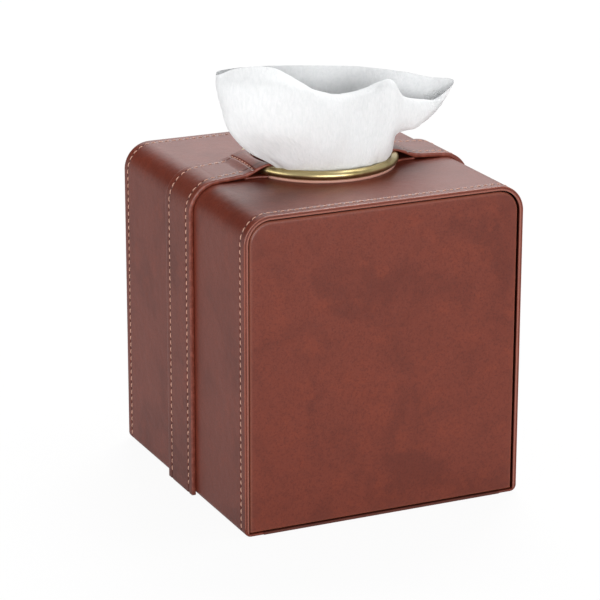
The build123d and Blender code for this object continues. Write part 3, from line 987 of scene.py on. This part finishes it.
# %% Lines of the sheet
# For each line: the neck (x, y), then the shoulder, the belly, two places above it and the
# free edge, each (x, y, z), in mm. The first eleven lines are the front, where the sheet
# rolls inward at its crest; then come the turned-down right end and the rear.
sheet_lines = [
    ((-31, -17), (-42, -14, 159.8), (-51.2, -13.5, 170), (-54, -13, 180), (-55.8, -13.5, 189), (-55.9, -14, 195.2)),
    ((-29, -21.5), (-37, -21, 160), (-46.5, -21, 171), (-50.5, -21.5, 181), (-51, -22, 192), (-48, -17, 198.4)),
    ((-25, -25.5), (-29.5, -27, 160), (-37.5, -29.5, 171), (-40, -30.5, 182), (-39.5, -29, 192.5), (-36, -21, 198.2)),
    ((-19, -29), (-21.5, -31, 160), (-26, -33.5, 171), (-27, -33, 181.5), (-26.5, -30.5, 190), (-24, -21, 193)),
    ((-12, -31.5), (-13, -33, 160), (-14, -33, 170), (-13.5, -31, 179), (-12, -26, 185.5), (-10, -17, 184)),
    ((-5, -32.3), (-5, -32.3, 160), (-4.5, -31, 168), (-3.5, -28, 176), (-2, -22.5, 182.3), (0, -14, 181)),
    ((2, -31.3), (2.5, -29.8, 160), (4, -26.5, 168), (5.5, -23, 175.5), (6.5, -19.5, 180.5), (8, -11, 180)),
    ((9, -31.5), (10.5, -30.3, 160), (13, -27, 168), (15, -24, 176.5), (16.5, -20.5, 182), (18, -11, 181.5)),
    ((16, -30), (18.5, -30.5, 160), (22, -29, 169), (24.5, -26, 178), (25.2, -21.5, 185.8), (26, -13, 184)),
    ((22, -26.5), (24, -27, 161), (28, -28, 168), (30.5, -26, 174.5), (31, -22, 179), (30, -14, 176)),
    ((26, -22), (28, -22.5, 161.5), (36.5, -24, 164), (40.5, -23, 171), (40.5, -19, 176.2), (39, -12, 173)),
    ((28, -18), (30, -18, 160.8), (42, -17.5, 163), (51.5, -16, 168.6), (53, -12.5, 172.8), (51, -8, 171)),
    ((29.5, -13), (31.2, -13, 160), (43.5, -12, 161.8), (54, -10.5, 166.8), (58.5, -9.5, 171.3), (60, -9, 175.5)),
    ((28, -9), (30.5, -8.5, 159.8), (45, -5.5, 161.8), (57, -5, 167.8), (62, -5, 174), (65.5, -5, 179.3)),
    ((24, -6), (27, -5, 159.5), (40, 0, 164), (49.5, 2.5, 171), (54.5, 2, 176), (57, 1, 180.2)),
    ((17, -4), (18.5, -2, 158.5), (29, 2.5, 167), (36, 4.5, 174), (40, 5.5, 179), (42, 5, 183.6)),
    ((8, -3), (8.5, 0, 159), (14, 6, 168), (18.5, 9, 176), (21, 10.5, 181.5), (22, 10.5, 186.6)),
    ((-2, -3), (-2.5, 1, 159), (-3, 7.5, 168.5), (-3, 11.5, 177), (-2.5, 12.8, 183.5), (-2, 12.5, 188.8)),
    ((-12, -4), (-14, -0.5, 159), (-19.5, 5, 168.5), (-22.5, 9, 178), (-24, 10.3, 185), (-24.5, 10, 191.2)),
    ((-21, -7), (-25.5, -4, 159), (-34, 0, 169), (-39, 3, 179), (-41, 4.2, 187), (-41, 4, 193)),
    ((-27, -11.5), (-34, -9, 159.5), (-45, -6, 171), (-50.5, -5, 181), (-52.5, -5, 189), (-52.5, -5, 194.7)),
]
neck_z = ring_z + wire_r + 1.1
throat_z = ring_z - 1.0


def held_in(x, y, reach, wide):
    """The nearest place inside the mouth, clear of the straps' turns."""
    far = hypot(x, y)
    if far > reach:
        x, y = x * reach / far, y * reach / far
    if abs(y) < strap_half + 1.5:
        x = max(-wide, min(wide, x))
    return x, y


def upright(neck, *above):
    """One line of the sheet, from the pile to the free edge."""
    x, y = neck
    low = held_in(x * 0.86, (y + 17) * 0.8 - 17, 29.0, 25.0)
    throat = held_in(x, y, 30.6, 27.0)
    return [Vector(p) for p in (
        (low[0] * 0.9, low[1] * 0.95, pile_high.z + 1.2), (low[0], low[1], 128.0), (*low, 142.0),
        (*throat, throat_z), (x, y, neck_z + 0.6), *above)]


def through(points, share, closed):
    """A place on the smooth line through the points; share runs over their numbers."""
    count = len(points)
    k = int(floor(share))
    if closed:
        a, b, c, d = (points[(k + shift) % count] for shift in (-1, 0, 1, 2))
    else:
        k = min(k, count - 2)
        b, c = points[k], points[k + 1]
        a = points[k - 1] if k > 0 else b * 2 - c
        d = points[k + 2] if k + 2 < count else c * 2 - b
    t = share - k
    return 0.5 * ((b * 2) + (c - a) * t + (a * 2 - b * 5 + c * 4 - d) * t * t
                  + (b * 3 - a - c * 3 + d) * t ** 3)


print(len(sheet_lines), "lines set out")

# %% Pass the surface through the lines
around_count, up_count = 294, 81
map_wide, map_tall = 60, 30
columns = [upright(*line_points) for line_points in sheet_lines]
levels = [[through([column[k] for column in columns], len(columns) * m / around_count, True)
           for m in range(around_count)] for k in range(len(columns[0]))]
sheet_rows = []
for row in range(up_count + 1):
    share = (len(levels) - 1) * row / up_count
    sheet_rows.append([through([level[m] for level in levels], share, False) for m in range(around_count)])


def pleat(m, row):
    """How far the paper stands out at a place, in mm."""
    turn = m / around_count
    up = row / up_count
    height = sheet_rows[row][m].z
    gathered = ease((168 - height) / 16) * (1 - 0.5 * ease((150 - height) / 4))
    soft = 0.34 * sin(2 * pi * (9 * turn + 0.5 * sin(2 * pi * turn * 3) + 0.2 * up)) * gathered
    place = sheet_rows[row][m]
    broad = noise.noise(place * 0.045 + Vector((3, 1, 0))) * 1.1 * ease((height - 156) / 14)
    fine_place = Vector((place.x * 0.16, place.y * 0.16, place.z * 0.07))
    small = noise.noise(fine_place) * 0.35 * ease((height - 150) / 10)
    return soft + broad + small


def facing(m, row):
    """Outward direction of the surface at a place."""
    left, ahead = sheet_rows[row][m - 1], sheet_rows[row][(m + 1) % around_count]
    low, high = sheet_rows[max(row - 1, 0)][m], sheet_rows[min(row + 1, up_count)][m]
    return (ahead - left).cross(high - low).normalized()


moved = [[tuple(sheet_rows[row][m] + facing(m, row) * pleat(m, row)) for m in range(around_count)]
         for row in range(up_count + 1)]
sheet_points, sheet_faces = skin(moved, caps=False)
tissue = piece("standing_tissue", sheet_points, sheet_faces, "tissue", "tissue", tissue_paper)
uv = tissue.data.uv_layers.new(name="sheet")
for face in tissue.data.polygons:
    for corner in face.loop_indices:
        vertex = tissue.data.loops[corner].vertex_index
        row, m = divmod(vertex, around_count)
        if m == 0 and face.vertices[0] % around_count == around_count - 1:
            m = around_count
        uv.data[corner].uv = (m / around_count * map_wide, row / up_count * map_tall)
area = sum(face.area for face in tissue.data.polygons)
print("sheet area", round(area * 1e4, 1), "square cm")
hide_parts("tissue_sheet")

# %% [markdown]
# ## Finishes on the CAD's own pieces
# Boards, battens, linings and the sewn facings have the right shape already. They keep it
# and get a finish, and a small bevel where a cut edge would be soft.

# %% Finish the carried-over nodes
def finish_node(name, material, soft=0.0):
    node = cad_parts[name]
    node.data.materials.clear()
    node.data.materials.append(material)
    if soft:
        bevel = node.modifiers.new("soft edge", "BEVEL")
        bevel.width, bevel.segments, bevel.limit_method = soft * MM, 3, "ANGLE"
        bevel.angle_limit = radians(40)
        bevel.harden_normals = False


for names, material, soft in (
    (("front_rim_facing", "rear_rim_facing"), facing_leather, 0.35),
    (("mouth_collar",), collar_leather, 0.2),
    (("right_wall_board", "left_wall_board", "top_board", "base_board", "back_panel_board",
      "drawer_front_board"), board, 0.15),
    (("right_corner_batten", "left_corner_batten"), batten_wood, 0.15),
    (("base_cover",), underside, 0.25),
    (("case_lining", "back_panel_lining", "drawer_front_lining", "drawer_floor_lining"), suede, 0.1),
    (("case_magnets", "drawer_strike_discs"), steel, 0.15),
    (("drawer_floor_board", "drawer_right_side", "drawer_left_side", "drawer_back_board"), tray_board, 0.3),
    (("back_panel_padding", "drawer_front_padding"), foam_pad, 0.0),
):
    for name in names:
        finish_node(name, material, soft)
print("carried-over nodes finished")

# %% [markdown]
# ## The studio
# The photograph is a cut-out on white under big soft lamps. The floor stays plain and pale
# and keeps the object's soft shadow. Two low, wide lamps light the left wall and the front,
# and leave the inside of the tissue grey. A small lamp overhead and a larger one above the
# rear shape the tissue, and a broad one behind gives the top its sheen. A black card stands
# at the left rear. Only reflections see it, and it darkens what the leather mirrors from there.

# %% Floor and world
def studio_plane(name, size, place, turn, material):
    bpy.ops.mesh.primitive_plane_add(size=size, location=place, rotation=turn)
    made = bpy.context.object
    made.name = name
    made.data.materials.append(material)
    return made


def seen_directly(tree, reflected):
    """1 for rays from the camera, and another share for those that a glossy surface sends back."""
    rays = tree.nodes.new("ShaderNodeLightPath")
    direct, glossy, through_glass = (Wire(tree, rays.outputs[name]) for name in
                                     ("Is Camera Ray", "Is Glossy Ray", "Is Transmission Ray"))
    return direct.sum("MAXIMUM", direct, direct.sum("MAXIMUM", glossy * reflected, through_glass))


pale = bpy.data.materials.new("pale floor")
pale.use_nodes = True
tree = pale.node_tree
matt = tree.nodes["Principled BSDF"]
matt.inputs["Base Color"].default_value = (0.9, 0.9, 0.9, 1)
matt.inputs["Roughness"].default_value = 0.9
glow = tree.nodes.new("ShaderNodeEmission")
shown = tree.nodes.new("ShaderNodeMix")
shown.data_type = "RGBA"
for place, value in ((0, seen_directly(tree, 0.0)), (6, (0.5, 0.5, 0.5, 1)), (7, (1, 1, 1, 1))):
    feed(tree, shown.inputs[place], value)
tree.links.new(shown.outputs[2], glow.inputs["Color"])
choose = tree.nodes.new("ShaderNodeMixShader")
feed(tree, choose.inputs[0], seen_directly(tree, 1.0) * 0.94)
tree.links.new(matt.outputs[0], choose.inputs[1])
tree.links.new(glow.outputs[0], choose.inputs[2])
tree.links.new(choose.outputs[0], tree.nodes["Material Output"].inputs["Surface"])
studio_plane("studio_floor", 12, (0, 0, 0), (0, 0, 0), pale)

world = bpy.data.worlds.new("studio world")
bpy.context.scene.world = world
world.use_nodes = True
tree = world.node_tree
sky = tree.nodes["Background"]
sky.inputs["Color"].default_value = (1, 1, 1, 1)
room_light = 0.36
feed(tree, sky.inputs["Strength"], room_light + (1 - room_light) * seen_directly(tree, 0.4))

# %% Lamps
def lamp(name, place, aim, size, power, tall=None):
    """A soft rectangular lamp that points at a place."""
    light = bpy.data.lights.new(name, "AREA")
    light.shape, light.size, light.size_y = "RECTANGLE", size, tall or size
    light.energy = power
    made = bpy.data.objects.new(name, light)
    made.location = place
    made.rotation_euler = (Vector(aim) - Vector(place)).to_track_quat("-Z", "Y").to_euler()
    bpy.context.scene.collection.objects.link(made)
    return made


middle = (0, 0, 0.09)
lamp("left_lamp", (-1.8, 0.1, 0.33), middle, 1.5, 9.5, tall=0.5)
lamp("front_lamp", (-0.1, -1.75, 0.31), middle, 1.6, 18.5, tall=0.5)
lamp("overhead_lamp", (0.8, -0.3, 1.9), middle, 0.6, 6)
lamp("high_lamp", (0.6, 0.9, 1.6), middle, 0.9, 25)
lamp("rear_lamp", (0.8, 1.7, 0.95), middle, 2.4, 8, tall=1.2)

black = bpy.data.materials.new("black card")
black.use_nodes = True
black.node_tree.nodes["Principled BSDF"].inputs["Base Color"].default_value = (0.01, 0.01, 0.01, 1)
black.node_tree.nodes["Principled BSDF"].inputs["Specular IOR Level"].default_value = 0.0
card_place = Vector((-0.54, 1.28, 0.75))
card_turn = (Vector(middle) - card_place).to_track_quat("Z", "Y").to_euler()
card = studio_plane("black_card", 1.2, card_place, card_turn, black)
card.visible_camera = card.visible_diffuse = card.visible_shadow = card.visible_transmission = False
bpy.context.scene.view_settings.view_transform = "Standard"
print("studio set")
